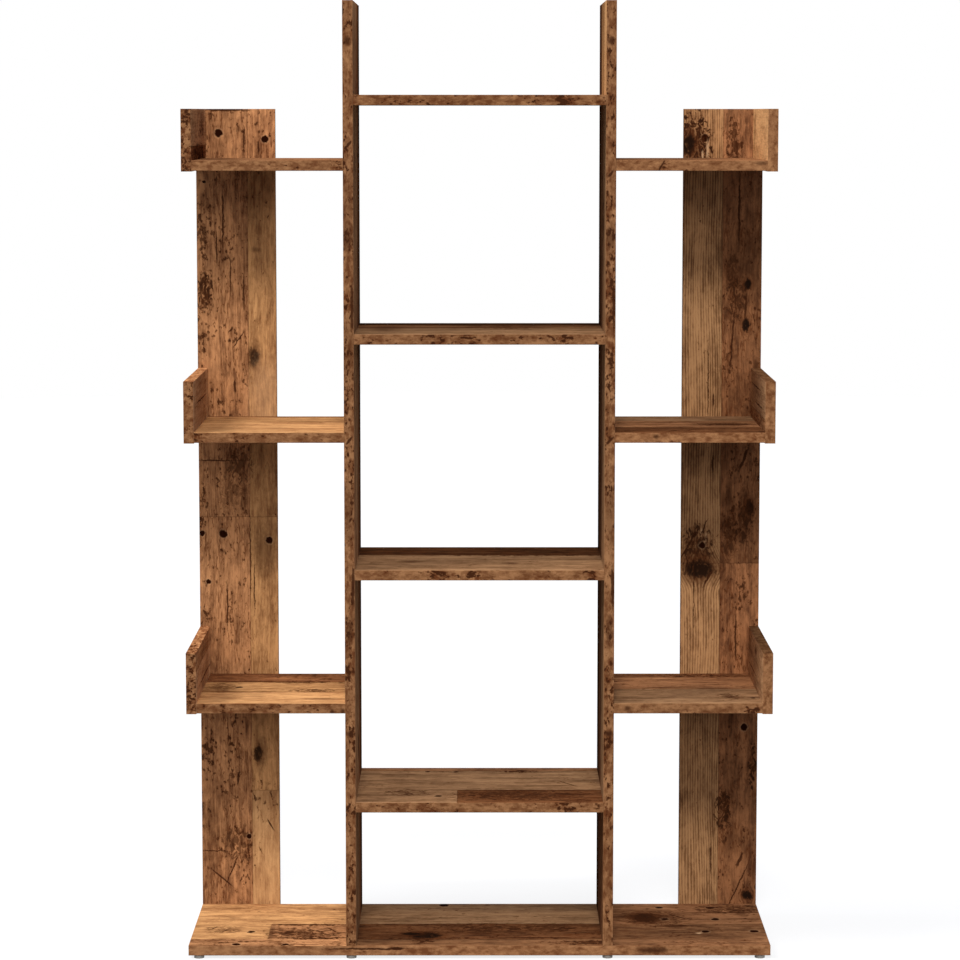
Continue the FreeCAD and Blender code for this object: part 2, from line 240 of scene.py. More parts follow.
RIGHT_STRIP = Board("z", "x", planks=[
    Plank(LINED, light=0.92),
    Plank(LINED, RIGHT_INNER, (FIRST_FOOT, 555), 1.06),
    Plank(RUST, RIGHT_OUTER, light=0.98),
    Plank(RUST, RIGHT_OUTER, (FOOT, FIRST_FOOT), 0.96),
    Plank(RUST, RIGHT_OUTER, (FIRST_FOOT, 555), 1.24),
    Plank(LINED, RIGHT_INNER, ABOVE_THIRD, 1.02),
    Plank(BROWN, RIGHT_OUTER, ABOVE_THIRD, 1.25),
], marks=[
    nail(342, 1206, 5.5), burl(326, 1208, 22, 38, 1.0), knot(318, 1196, 10, 18, 0.9),
    burl(340, 1184, 14, 10, 1.0), stain(326, 1196, 16, 24, 0.6),
    chip(346, 1188, 2, 12), chip(339, 1178, 1.5, 8), chip(348, 592, 2, 9, 0.5), chip(341, 604, 1.5, 7, 0.5),
    burl(334, 578, 22, 34, 0.9), knot(338, 546, 24, 15, 0.85), stain(340, 552, 32, 30, 0.75),
    stain(334, 586, 22, 30, 0.4), nail(342, 583, 4.5),
    crack(352, 532, 14, 1.6, 30), crack(322, 585, 26, 1.4, 32), crack(345, 610, 14, 1.2, 24),
    crack(395, 1094, 50, 1.5), knot(409, 985, 6, 8), crack(406, 950, 22, 1.5), knot(407, 922, 6, 10),
    # The mark at (402, 1020) is a painted shadow: the soft lower edge of the top right shelf's shadow on
    # the strip.
    burl(392, 960, 12, 36, 0.7), burl(386, 1000, 10, 30, 0.55), stain(402, 1020, 36, 60, 0.4),
    crack(386, 900, 50, 1.2, 4),
    crack(358, 808, 10, 1.3), crack(358, 709, 14, 1.5), crack(405, 716, 20, 2.4, 22),
    knot(415, 640, 7, 12), stain(410, 640, 10, 34, 0.6), burl(405, 622, 14, 30, 0.8), nail(409, 299, 5),
    burl(384, 597, 13, 30, 0.6), crack(395, 440, 34, 1.5), stain(383, 662, 4, 30, 0.5),
    crack(359, 91, 24, 1.0), crack(405, 90, 12, 2.6, 24), crack(402, 50, 44, 1.0, 24), knot(416, 34, 8, 7),
    stain(423, 860, 4, 10, 0.8), burl(424, 236, 7, 30, 1.0), burl(378, 168, 12, 30, 0.9),
    burl(380, 1170, 12, 14, 0.6), stain(392, 120, 20, 20, 0.35), crack(350, 840, 60, 0.7),
    crack(330, 500, 50, 0.7),
], patches=[
    Patch(386, 1210, 16, 44, 1.0), Patch(398, 508, 26, 34, 0.9), Patch(378, 880, 10, 60, 0.8),
    Patch(385, 620, 14, 60, 0.8), Patch(380, 160, 10, 60, 0.9),
])

# The base is laid with three rows of planks, and the dividers hide where a row changes.
FRONT_SEAM = -91
BACK_SEAM = -6
FRONT_ROW = (FRONT, FRONT_SEAM)
MIDDLE_ROW = (FRONT_SEAM, BACK_SEAM)
BACK_ROW = (BACK_SEAM, BACK)
BASE = Board("x", "y", planks=[
    Plank(TAN, light=1.08),
    Plank(TAN, (61, BACK), light=1.13),
    Plank(DUSK, BACK_ROW, CENTRE_SPAN, 0.9),
    Plank(BROWN, (FRONT_SEAM, BACK), RIGHT_SPAN, 1.12),
    Plank(BROWN, MIDDLE_ROW, RIGHT_SPAN, 0.85),
    Plank(RED, MIDDLE_ROW, (-315, -DIVIDER_MIDDLE), 1.12),
    Plank(UMBER, MIDDLE_ROW, CENTRE_SPAN),
    Plank(BROWN, FRONT_ROW, light=0.98),
    Plank(BROWN, FRONT_ROW, CENTRE_SPAN, 0.75),
    Plank(RED, FRONT_ROW, LEFT_SPAN, 1.07),
], marks=[
    nail(-51, -343, 5.5), nail(-120, -360, 6), nail(-120, -287, 4.5), nail(104, -55, 7),
    knot(-53, -286, 7, 8), burl(-60, -262, 26, 46, 0.9), crack(-40, -222, 16, 1.8, -60),
    burl(-86, -245, 7, 60, 1.0), burl(-11, -255, 6, 60, 0.8), stain(-50, -312, 40, 4, 0.7),
    knot(-72, -80, 17, 23), knot(-62, -102, 8, 16, 0.9), stain(-70, -92, 18, 40, 0.6),
    burl(-104, -84, 14, 14, 1.0), crack(-92, -120, 60, 2),
    burl(-38, -384, 18, 24, 0.5), crack(-44, -382, 10, 1.2, 60), crack(-30, -400, 10, 1.2, 60),
    knot(30, 252, 27, 19), stain(38, 248, 34, 40, 0.7), burl(24, 268, 34, 44, 0.7),
    nail(21, 283, 6), nail(21, 360, 6), nail(-50, 340, 6), nail(-48, 413, 6.5), nail(89, 278, 5.5),
    nail(89, 357, 6), chip(-58, 329, 4, 5),
    crack(38, 302, 18, 2, -50), crack(60, 380, 44, 2), burl(80, 390, 24, 50, 0.8),
    stain(50, 402, 16, 8, 0.4), stain(-19, 297, 7, 20, 0.8), stain(-19, 334, 5, 12, 0.7),
    stain(-31, 404, 4, 9, 0.6),
    crack(-92, 0, 160, 1.6), crack(-6, 0, 180, 1.2), burl(-112, 160, 12, 30, 1.0), crack(-84, 90, 50, 2.5),
    burl(-30, 0, 26, 60, 0.7), burl(-26, 108, 20, 50, 0.6),
], patches=[
    Patch(-50, -262, 34, 60, 0.8), Patch(-112, -300, 16, 130, 0.8), Patch(-40, 300, 60, 80, 0.5),
    Patch(70, 390, 40, 50, 0.7), Patch(-110, 130, 14, 60, 0.9),
], band=Band(1.2, 0.0, marks=[
    stain(12, -330, 9, 120, 0.12), crack(15, -165, 58, 1.4), crack(16, -122, 9, 1.8),
    stain(13, 254, 5, 20, 0.9), stain(14, 270, 4, 8, 0.6),
]))

LEFT_SHELVES = [
    Board("x", "y", planks=[
        Plank(HONEY, light=1.03),
        Plank(TAN, (-40, 41), light=0.88),
        Plank(UMBER, (41, BACK), light=1.3),
    ], marks=[
        nail(0, -362, 5), crack(-38, -335, 34, 2.2), burl(-28, -243, 10, 24, 0.7),
        burl(40, -260, 8, 50, 0.8), burl(0, -390, 30, 20, 0.5), crack(45, -330, 90, 3),
        crack(108, -320, 100, 3), stain(-92, -230, 8, 30, 0.5), stain(-70, -330, 26, 10, 0.2),
    ], patches=[Patch(-24, -245, 16, 50, 1.0), Patch(90, -280, 26, 60, 0.8)], band=Band(0.98, 0.45, marks=[
        stain(370, -216, 4, 3, 0.9), stain(371, -200, 4, 3, 0.9), stain(375, -423, 8, 8, 1.0),
    ], patches=[worn(SIDE_LEVELS[0], -371, 18, 0.8)])),
    Board("x", "y", planks=[
        Plank(HONEY, light=1.02),
        Plank(TAN, (20, 104), light=0.9),
        Plank(RUST, (104, BACK), light=1.2),
    ], marks=[
        crack(30, -280, 60, 1.2), stain(100, -300, 6, 60, 0.5), stain(-60, -300, 30, 12, 0.15),
    ], band=Band(1.0, 0.4, patches=[
        worn(SIDE_LEVELS[1], -346, 16, 0.8), worn(SIDE_LEVELS[1], -410, 12),
    ])),
    Board("x", "y", planks=[Plank(BROWN), Plank(RED, (-40, 41))], band=Band(1.0, 0.5, patches=[
        worn(SIDE_LEVELS[2], -205, 10), worn(SIDE_LEVELS[2], -385, 20, 0.6),
    ])),
]

RIGHT_SHELVES = [
    Board("x", "y", planks=[
        Plank(BROWN, light=1.38),
        Plank(DUSK, (FRONT, -14), light=0.87),
        Plank(RUST, (80, BACK), light=1.15),
    ], marks=[
        crack(60, 283, 14, 2.5), burl(-72, 372, 20, 18, 0.7), crack(-83, 409, 12, 2), nail(-85, 405, 4),
        burl(95, 330, 14, 60, 0.8),
    ], band=Band(0.97, 0.25, marks=[stain(376, 217, 4, 4, 0.8)], patches=[
        worn(SIDE_LEVELS[0], 400, 14, 0.9),
    ])),
    Board("x", "y", planks=[
        Plank(BROWN, light=1.15),
        Plank(DUSK, (40, BACK), light=0.85),
        Plank(UMBER, (FRONT, -52), light=0.87),
    ], marks=[
        stain(-6, 374, 12, 26, 0.95), burl(-6, 360, 20, 40, 0.8), crack(-60, 250, 50, 3),
    ], band=Band(1.15, 0.15, marks=[stain(776, 257, 3, 4, 0.9)], patches=[
        worn(SIDE_LEVELS[1], 403, 8, 0.7),
    ])),
    Board("x", "y", planks=[Plank(BROWN), Plank(RED, (-60, 20))], band=Band(1.1, 0.2, marks=[
        stain(1172, 406, 3, 9, 0.6), crack(1168, 262, 12, 1.2, 60),
    ], patches=[worn(SIDE_LEVELS[2], 270, 12, 0.8)])),
]

CENTRE_SHELVES = [
    Board("x", "y", planks=[
        Plank(DUSK, light=0.97),
        Plank(DUSK, (FRONT, -43), (-200, -33), 0.98),
        Plank(UMBER, (FRONT, -43), (-33, 200), 0.84),
        Plank(BROWN, (90, BACK)),
    ], marks=[
        nail(-83, -61, 5), burl(-61, -106, 20, 30, 0.7), crack(-73, 137, 26, 3), nail(85, -80, 4),
        nail(84, -36, 4.5), crack(-75, 20, 30, 2.5), burl(-80, 60, 30, 90, 0.8), burl(86, 60, 8, 30, 1.0),
        crack(84, 0, 150, 1.4), stain(38, 60, 5, 60, 0.45), crack(0, 134, 20, 1.4, -55),
        crack(-44, 80, 116, 2.2),
    ], patches=[Patch(-85, 70, 40, 120, 0.6)], band=Band(0.97, 0.45, patches=[
        worn(CENTRE_LEVELS[0], 122, 20), worn(CENTRE_LEVELS[0], 174, 10),
        worn(CENTRE_LEVELS[0], -74, 14, 0.8),
    ])),
    Board("x", "y", planks=[
        Plank(DUSK, light=0.87),
        # Painted shade: the back of the upper face is darkened under the shelf above.
        Plank(UMBER, (28, BACK), light=0.5, side=1),
    ], marks=[
        stain(-56, 45, 7, 12, 0.8), stain(-96, -76, 7, 50, 0.35), stain(-37, -104, 10, 20, 0.6),
        burl(30, 60, 14, 120, 0.8), stain(-20, 140, 12, 24, 0.3),
    ], band=Band(1.02, 0.45, patches=[
        worn(CENTRE_LEVELS[1], -58, 20), worn(CENTRE_LEVELS[1], -8, 12), worn(CENTRE_LEVELS[1], 165, 8),
    ])),
    Board("x", "y", planks=[
        Plank(DUSK, light=0.8),
        Plank(BROWN, (0, 60), light=0.75),
        # Painted shade: the back of the upper face is darkened nearly to black under the shelf above.
        Plank(UMBER, (60, BACK), light=0.24, side=1),
    ], marks=[burl(10, 30, 40, 60, 0.5), stain(0, -140, 50, 24, 0.6)], band=Band(0.97, 0.5, patches=[
        worn(CENTRE_LEVELS[2], 120, 22), worn(CENTRE_LEVELS[2], 172, 10),
        worn(CENTRE_LEVELS[2], -56, 8, 0.8),
    ])),
    Board("x", "y", planks=[Plank(BROWN), Plank(DUSK, (-60, 30))], band=Band(1.02, 0.5, patches=[
        worn(CENTRE_LEVELS[3], 120, 20), worn(CENTRE_LEVELS[3], 174, 10),
    ])),
]

# The dividers stand out above the top shelf in a plank of their own.
ABOVE_TOP_SHELF = (1268, TOP)


def divider_band(middle, line_edge, hook, shade):
    """Pits in clusters, two long dark splits by one edge, and two short slanting ones."""
    clusters = [(1065, 18), (975, 40), (895, 26), (490, 20), (425, 28), (225, 26)]
    return Band(1.0, 0.62, marks=[
        crack(line_edge, 965, 34, 2.2), crack(line_edge, 556, 29, 2.2), stain(middle, 1347, 5, 6, 0.9),
        crack(middle, hook, 7, 1.8, 40), crack(middle, 770, 7, 1.8, 40), stain(middle, 338, 5, 4, 1.0),
        stain(middle, 1110, 10, 50, shade), stain(middle, 900, 10, 55, shade),
        stain(middle, 665, 9, 45, 0.4), stain(middle, 1065, 8, 18, 0.6), stain(middle, 490, 5, 20, 0.6),
    ], patches=[worn(middle, along, half) for along, half in clusters])


LEFT_DIVIDER = Board("z", "y", planks=[
    Plank(DUSK, light=1.14),
    Plank(DUSK, (FRONT, 0), ABOVE_TOP_SHELF, 0.86),
    Plank(BROWN, (0, 50)),
    # Painted shade: this very dark plank darkens the back of the inner face, towards the middle bay.
    Plank(UMBER, (50, BACK), light=0.36, side=1),
    Plank(RUST, (50, BACK), light=1.05, side=-1),
], marks=[
    knot(-20, 300, 10, 22), burl(30, 900, 20, 40), nail(-90, 640, 5), nail(40, 1180, 5),
    burl(-60, 1180, 20, 60, 0.5), crack(-84, 520, 60, 1.3), crack(10, 480, 90, 1.3),
    crack(-40, 820, 70, 1.2),
], patches=[
    Patch(-100, 900, 20, 120, 0.6), Patch(-20, 200, 40, 100, 0.5),
], band=divider_band(-DIVIDER_MIDDLE, -DIVIDER_MIDDLE + 5, 1198, 0.3))
RIGHT_DIVIDER = Board("z", "y", planks=[
    Plank(DUSK, light=0.9),
    Plank(BROWN, (FRONT, -20), (FOOT, 235), 0.84),
    # Painted shade: these two dark planks darken the back of the inner face, towards the middle bay.
    Plank(BROWN, (-20, 50), light=0.6, side=-1),
    Plank(UMBER, (50, BACK), light=0.3, side=-1),
    Plank(RUST, (30, BACK), light=1.05, side=1),
    Plank(BLOND, (FRONT, -60), ABOVE_TOP_SHELF, 1.1),
    Plank(TAN, (-60, 20), ABOVE_TOP_SHELF, 0.75),
], marks=[
    knot(10, 480, 10, 22), burl(-40, 1090, 18, 36), nail(-20, 840, 5), nail(60, 250, 5),
    burl(20, 700, 24, 60, 0.6), crack(-84, 620, 60, 1.3), crack(10, 380, 90, 1.3),
    crack(-40, 920, 70, 1.2),
], patches=[
    Patch(-100, 500, 20, 120, 0.6), Patch(-20, 1200, 40, 100, 0.5),
], band=divider_band(DIVIDER_MIDDLE, DIVIDER_MIDDLE + 5, 1157, 0.0))

# The caps of the first two left guards paint light on their top edges.
LEFT_GUARDS = [
    Board("y", "z", planks=[
        Plank(BISQUE, light=1.2),
        Plank(DUSK, (430, 470), light=1.2),
    ], marks=[crack(400, 20, 90, 1.2), stain(420, 60, 20, 40, 0.2)], band=Band(1.0, 0.8, cap=1.72)),
    Board("y", "z", planks=[
        Plank(BISQUE, light=0.92),
    ], marks=[crack(820, 0, 70, 1.2)], band=Band(1.0, 0.6, cap=1.95)),
    Board("y", "z", planks=[
        Plank(DUSK, light=1.25),
        # The dark plank and the long burl along this guard's foot make it darker towards the bottom.
        Plank(UMBER, (1150, 1196), light=1.2),
    ], marks=[burl(1180, 0, 16, 80, 1.0), burl(1225, 50, 12, 40, 0.7)], band=Band(0.98, 0.95)),
]
# The caps of the first two right guards paint shade on their top edges.
RIGHT_GUARDS = [
    Board("y", "z", planks=[
        Plank(DUSK, light=1.2),
    ], marks=[stain(440, -10, 6, 16, 0.8), crack(404, 40, 60)], band=Band(1.03, 0.2, cap=0.5)),
    Board("y", "z", planks=[
        Plank(DUSK, light=1.15),
        Plank(RED, (756, 800), light=0.9),
    ], marks=[crack(836, 20, 70), crack(812, -30, 60)], band=Band(1.08, 0.2, cap=0.7)),
    Board("y", "z", planks=[
        Plank(BLOND, light=1.12),
    ], marks=[
        stain(1225, 75, 20, 9, 0.45), stain(1210, 92, 26, 6, 0.4), stain(1170, -30, 3, 80, 0.3),
    ], band=Band(1.08, 0.2)),
]


def numbered(family, boards):
    """The boards of a family by the names of their nodes, which count from 1 at the foot."""
    return {f"{family}_{number}": board for number, board in enumerate(boards, start=1)}


BOARDS = {
    "base_panel": BASE,
    "left_divider": LEFT_DIVIDER,
    "right_divider": RIGHT_DIVIDER,
    "left_back_strip": LEFT_STRIP,
    "right_back_strip": RIGHT_STRIP,
    **numbered("centre_shelf", CENTRE_SHELVES),
    **numbered("left_shelf", LEFT_SHELVES),
    **numbered("right_shelf", RIGHT_SHELVES),
    **numbered("left_guard", LEFT_GUARDS),
    **numbered("right_guard", RIGHT_GUARDS),
}


class Graph:
    """Adds nodes to one tree and joins them. A value may be a number or another node's output."""

    def __init__(self, tree):
        self.tree = tree
        tree.nodes.clear()

    def node(self, kind, values=(), **settings):
        """A new node, with its settings, and with values on the inputs that their keys name or number."""
        made = self.tree.nodes.new(kind)
        for name, setting in settings.items():
            setattr(made, name, setting)
        for key, value in dict(values).items():
            self.feed(made.inputs[key], value)
        return made

    def feed(self, socket, value):
        if isinstance(value, bpy.types.NodeSocket):
            self.tree.links.new(value, socket)
        else:
            socket.default_value = value

    def math(self, operation, first, second=0.0, third=0.0, clamp=False):
        values = {0: first, 1: second, 2: third}
        return self.node("ShaderNodeMath", values, operation=operation, use_clamp=clamp).outputs[0]

    def add(self, first, second):
        return self.math("ADD", first, second)

    def times(self, first, second, *more):
        """The product of two values or more."""
        product = self.math("MULTIPLY", first, second)
        for value in more:
            product = self.math("MULTIPLY", product, value)
        return product

    def larger(self, first, second):
        return self.math("MAXIMUM", first, second)

    def scaled(self, value, factor, offset):
        """The value times the factor, plus the offset."""
        return self.math("MULTIPLY_ADD", value, factor, offset)

    def centred(self, value, width):
        """A value from 0 to 1 spread over the width about zero."""
        return self.scaled(value, width, -width / 2)

    def step(self, value, low, high):
        """Rises smoothly from 0 at low to 1 at high, or falls where low is over high."""
        falls = low > high
        made = self.node("ShaderNodeMapRange", {
            "Value": value, "From Min": min(low, high), "From Max": max(low, high),
            "To Min": 1.0 if falls else 0.0, "To Max": 0.0 if falls else 1.0,
        }, interpolation_type="SMOOTHSTEP")
        return made.outputs[0]

    def mix(self, factor, first, second):
        """The first colour at factor 0, the second at 1."""
        made = self.node("ShaderNodeMix", {0: factor, 6: first, 7: second}, data_type="RGBA")
        return made.outputs[2]

    def blend(self, factor, first, second):
        """The first vector at factor 0, the second at 1."""
        made = self.node("ShaderNodeMix", {0: factor, 4: first, 5: second}, data_type="VECTOR")
        return made.outputs[1]

    def vector(self, operation, first, second=(0.0, 0.0, 0.0)):
        made = self.node("ShaderNodeVectorMath", {0: first, 1: second}, operation=operation)
        return made.outputs["Value" if operation == "LENGTH" else "Vector"]

    def joined(self, x, y, z):
        return self.node("ShaderNodeCombineXYZ", {0: x, 1: y, 2: z}).outputs[0]

    def split(self, vector):
        return self.node("ShaderNodeSeparateXYZ", {0: vector}).outputs

    def noise(self, vector, waves, detail=2.0, roughness=0.5, distortion=0.0):
        """Noise from 0 to 1 with so many waves a metre on each axis."""
        made = self.node("ShaderNodeTexNoise", {
            "Vector": self.vector("MULTIPLY", vector, waves), "Scale": 1.0,
            "Detail": detail, "Roughness": roughness, "Distortion": distortion,
        })
        return made.outputs[0]

    def bump(self, height, distance, strength):
        values = {"Height": height, "Distance": distance, "Strength": strength}
        return self.node("ShaderNodeBump", values).outputs[0]

    def surface(self, values):
        """The material's shader, with values on its inputs."""
        shader = self.node("ShaderNodeBsdfPrincipled", values)
        self.node("ShaderNodeOutputMaterial", {"Surface": shader.outputs[0]})


def new_material(name):
    """An empty material and its graph."""
    material = bpy.data.materials.new(name)
    material.use_nodes = True
    return material, Graph(material.node_tree)


def new_group(name, inputs, outputs):
    """An empty node group with the given sockets, its graph and its inner input."""
    group = bpy.data.node_groups.new(name, "ShaderNodeTree")
    graph = Graph(group)
    kinds = {"f": "NodeSocketFloat", "c": "NodeSocketColor", "v": "NodeSocketVector"}
    for label, kind in inputs:
        group.interface.new_socket(label, in_out="INPUT", socket_type=kinds[kind])
    for label, kind in outputs:
        group.interface.new_socket(label, in_out="OUTPUT", socket_type=kinds[kind])
    return group, graph, graph.node("NodeGroupInput").outputs


WOOD_INPUTS = [
    ("Grain", "v"), ("Pale", "c"), ("Dark", "c"), ("Rings", "f"), ("Cracks", "f"), ("Pits", "f"),
    ("Stains", "f"), ("Streaks", "f"),
]
WOOD_OUTPUTS = [("Colour", "c"), ("Relief", "f"), ("Roughness", "f")]
BAND_INPUTS = [("Grain", "v"), ("Worn", "f"), ("Light", "f")]
BAND_OUTPUTS = WOOD_OUTPUTS[:2]
RING_PITCH = 4.0 * MM
GRAIN_BEND = 24 * MM


def grain_tone(g, given, grain, lines, bent, fine):
    """How pale the wood is, from 0 to 1, by its fine grain, bands, streaks, mottling, clouds and rings."""
    broad = g.noise(grain, (24, 24, 5), 3, 0.6)
    bands = g.noise(lines, (120, 120, 8), 4, 0.6)
    streaks = g.noise(lines, (52, 52, 9), 3, 0.6)
    mottle = g.noise(grain, (90, 90, 46), 5, 0.72, 0.6)
    waves = g.scaled(bands, 0.7, g.times(bent, 1 / RING_PITCH))
    rings = g.times(g.math("SINE", g.times(waves, 2 * pi)), 0.22)

    level = 0.6
    for part in (
        g.centred(fine, 1.9), g.centred(bands, 1.45), g.times(g.centred(streaks, 3.2), given["Streaks"]),
        g.centred(mottle, 1.7), g.centred(broad, 1.2),
    ):
        level = g.add(level, part)
    return g.math("MULTIPLY_ADD", rings, given["Rings"], level, clamp=True)


def grain_cracks(g, grain, lines, amount):
    """Thin hair cracks and short dashes along the grain, broken up by a slow noise."""
    hairs = g.noise(lines, (78, 78, 11), 4, 0.6)
    thin = g.step(g.math("ABSOLUTE", g.centred(hairs, 1.0)), 0.018, 0.004)
    dashes = g.step(g.noise(lines, (240, 240, 34), 3, 0.6), 0.55, 0.66)
    broken = g.step(g.noise(grain, (34, 34, 16), 2), 0.44, 0.58)
    return g.times(g.larger(thin, dashes), broken, amount)


def worm_pits(g, grain, amount):
    """Round pits and ragged bites in clusters, and the brown ring around them; amount runs from 0 to 1."""
    clusters = g.noise(grain, (36, 36, 20), 2)
    specks = g.noise(grain, (185, 185, 110), 4, 0.62)
    limit = g.add(g.centred(clusters, -0.45), g.scaled(amount, -0.22, 0.75))
    over = g.math("SUBTRACT", specks, limit)

    cells = g.node("ShaderNodeTexVoronoi", {
        "Vector": g.vector("MULTIPLY", grain, (210, 210, 130)), "Scale": 1.0,
    }).outputs
    chance, size, _ = g.split(cells["Color"])
    crowded = g.step(g.scaled(amount, 0.25, clusters), 0.6, 0.85)
    density = g.times(amount, amount, g.scaled(crowded, 0.4, 0.03))
    chosen = g.math("LESS_THAN", chance, density)
    gap = g.math("SUBTRACT", cells["Distance"], g.scaled(size, 0.24, 0.1))
    gap = g.add(gap, g.centred(specks, 0.5))

    pit = g.larger(g.times(g.step(gap, 0.12, -0.05), chosen), g.step(over, -0.02, 0.035))
    ring = g.larger(g.times(g.step(gap, 0.4, 0.0), chosen), g.step(over, -0.075, 0.0))
    return pit, ring


def old_wood_group():
    """Weathered softwood. Grain is metres: across the board, through it, and along the grain."""
    group, g, given = new_group("old_wood", WOOD_INPUTS, WOOD_OUTPUTS)
    grain = given["Grain"]
    across, through, along = g.split(grain)
    bent = g.scaled(g.noise(grain, (9, 9, 2.8), 2), GRAIN_BEND, across)
    lines = g.joined(bent, through, along)
    fine = g.noise(lines, (270, 270, 34), 4, 0.75)
    colour = g.mix(grain_tone(g, given, grain, lines, bent, fine), given["Dark"], given["Pale"])

    blotch = g.noise(grain, (22, 22, 10), 5, 0.72)
    stained = g.times(g.step(blotch, 0.5, 0.68), given["Stains"], 0.8)
    colour = g.mix(stained, colour, STAIN_AND_SHADE_BROWN)
    cracked = grain_cracks(g, grain, lines, given["Cracks"])
    colour = g.mix(g.times(cracked, 0.85), colour, CRACK_BROWN)
    pit, ring = worm_pits(g, grain, given["Pits"])
    colour = g.mix(g.times(ring, 0.4), colour, CRACK_BROWN)
    filling = g.scaled(g.step(fine, 0.4, 0.62), -0.3, 0.92)
    colour = g.mix(g.times(pit, filling), colour, PIT_BROWN)

    relief = g.scaled(cracked, -0.25, g.scaled(pit, -0.25, g.times(fine, 0.12)))
    rough = g.scaled(fine, 0.3, g.scaled(pit, 0.1, 0.72))
    g.node("NodeGroupOutput", {"Colour": colour, "Relief": relief, "Roughness": rough})
    return group


def edge_band_group():
    """The speckled banding on the narrow faces, with pits and chips like worm-eaten wood."""
    group, g, given = new_group("edge_band", BAND_INPUTS, BAND_OUTPUTS)
    grain, worn_out = given["Grain"], given["Worn"]
    broad = g.noise(grain, (40, 40, 12), 4, 0.65)
    mottle = g.noise(grain, (120, 120, 62), 5, 0.7)
    level = g.add(g.centred(broad, 1.6), 0.56)
    level = g.math("ADD", g.centred(mottle, 3.4), level, clamp=True)
    colour = g.mix(level, BAND_DARK, BAND_PALE)
    rust = g.step(g.noise(grain, (105, 105, 70), 4, 0.65), 0.49, 0.6)
    colour = g.mix(g.times(rust, g.scaled(worn_out, 0.65, 0.16)), colour, BAND_RUST)
    pit, ring = worm_pits(g, grain, worn_out)
    colour = g.mix(g.times(ring, 0.5), colour, BAND_RUST)
    colour = g.mix(g.times(pit, 0.95), colour, PIT_BROWN)
    bright = g.node("ShaderNodeVectorMath", {0: colour, 3: given["Light"]}, operation="SCALE").outputs[0]
    relief = g.scaled(pit, -0.3, g.times(mottle, 0.12))
    g.node("NodeGroupOutput", {"Colour": bright, "Relief": relief})
    return group


# What the middle of each kind of mark adds to the relief's height.
NAIL_DEPTH = -0.7
KNOT_DEPTH = -0.35
BURL_DEPTH = -0.15
CRACK_DEPTH = -0.4

# Where marks are drawn: the place across and along the board, and the two noises that fray their edges.
Sheet = namedtuple("Sheet", "place ragged flames")


def reach_of(g, place, mark, grow=1.0):
    """Distance from a mark's or patch's middle, as a share of its half sizes."""
    away = g.vector("SUBTRACT", place, (mark.across * MM, mark.along * MM, 0.0))
    turn = getattr(mark, "turn", 0.0)
    if turn:
        values = {"Vector": away, "Angle": radians(turn)}
        away = g.node("ShaderNodeVectorRotate", values, rotation_type="Z_AXIS").outputs[0]
    inverse = (1 / (mark.half_across * grow * MM), 1 / (mark.half_along * grow * MM), 0.0)
    return g.vector("LENGTH", g.vector("MULTIPLY", away, inverse))


def frayed_reach(g, sheet, mark, fraying):
    return g.scaled(sheet.ragged, fraying, reach_of(g, sheet.place, mark))


def flame_cover(g, reach, flames, fill):
    """Ragged dark tongues inside a mark, closer together towards its middle."""
    denser = g.add(flames, g.scaled(reach, -fill, fill))
    return g.times(g.step(reach, 1.5, 1.0), g.step(denser, 0.49, 0.58))


def draw_nail(g, sheet, mark, colour, relief):
    """A round hole with a faint pale rim."""
    reach = frayed_reach(g, sheet, mark, 0.45)
    rim = g.times(g.step(reach, 1.7, 1.15), 0.14)
    hole = g.times(g.step(reach, 1.3, 0.85), mark.strength)
    colour = g.mix(rim, colour, PALE_CHIP)
    return g.mix(hole, colour, INK), g.scaled(hole, NAIL_DEPTH, relief)


def draw_knot(g, sheet, mark, colour, relief):
    """Dark rings round a black middle, with a brown halo and ragged tongues."""
    reach = frayed_reach(g, sheet, mark, 0.5)
    halo = g.times(g.step(reach, 1.9, 0.8), 0.45 * mark.strength)
    turns = g.times(g.add(reach, g.times(sheet.flames, 1.3)), 11.0)
    swirl = g.scaled(g.math("SINE", turns), 0.32, 0.66)
    body = g.times(g.step(reach, 1.2, 0.85), swirl, mark.strength)
    spikes = g.times(flame_cover(g, reach, sheet.flames, 0.22), mark.strength)
    core = g.times(g.step(reach, 1.0, 0.6), g.step(sheet.flames, 0.3, 0.48), 0.9 * mark.strength)
    colour = g.mix(halo, colour, CRACK_BROWN)
    colour = g.mix(g.larger(body, spikes), colour, KNOT_BROWN)
    return g.mix(core, colour, KNOT_BLACK), g.scaled(core, KNOT_DEPTH, relief)


def draw_burl(g, sheet, mark, colour, relief):
    """A loose cloud of two-toned dark tongues."""
    reach = frayed_reach(g, sheet, mark, 1.0)
    covered = g.times(flame_cover(g, reach, sheet.flames, 0.12), mark.strength)
    halo = g.times(g.step(reach, 1.6, 0.6), g.step(sheet.flames, 0.36, 0.54), 0.5 * mark.strength)
    colour = g.mix(halo, colour, CRACK_BROWN)
    brown = g.mix(g.step(sheet.flames, 0.46, 0.6), BURL_BROWN, KNOT_BROWN)
    return g.mix(covered, colour, brown), g.scaled(covered, BURL_DEPTH, relief)


def draw_crack(g, sheet, mark, colour, relief):
    covered = g.times(g.step(frayed_reach(g, sheet, mark, 1.0), 1.4, 0.7), mark.strength)
    return g.mix(covered, colour, SPLIT_BROWN), g.scaled(covered, CRACK_DEPTH, relief)


def draw_stain_and_shade(g, sheet, mark, colour, relief):
    """A soft spot: dark for a stain and for painted shadow, pale where the wood is chipped."""
    covered = g.times(g.step(frayed_reach(g, sheet, mark, 1.0), 1.6, 0.3), mark.strength)
    return g.mix(covered, colour, PALE_CHIP if mark.kind == "chip" else STAIN_AND_SHADE_BROWN), relief


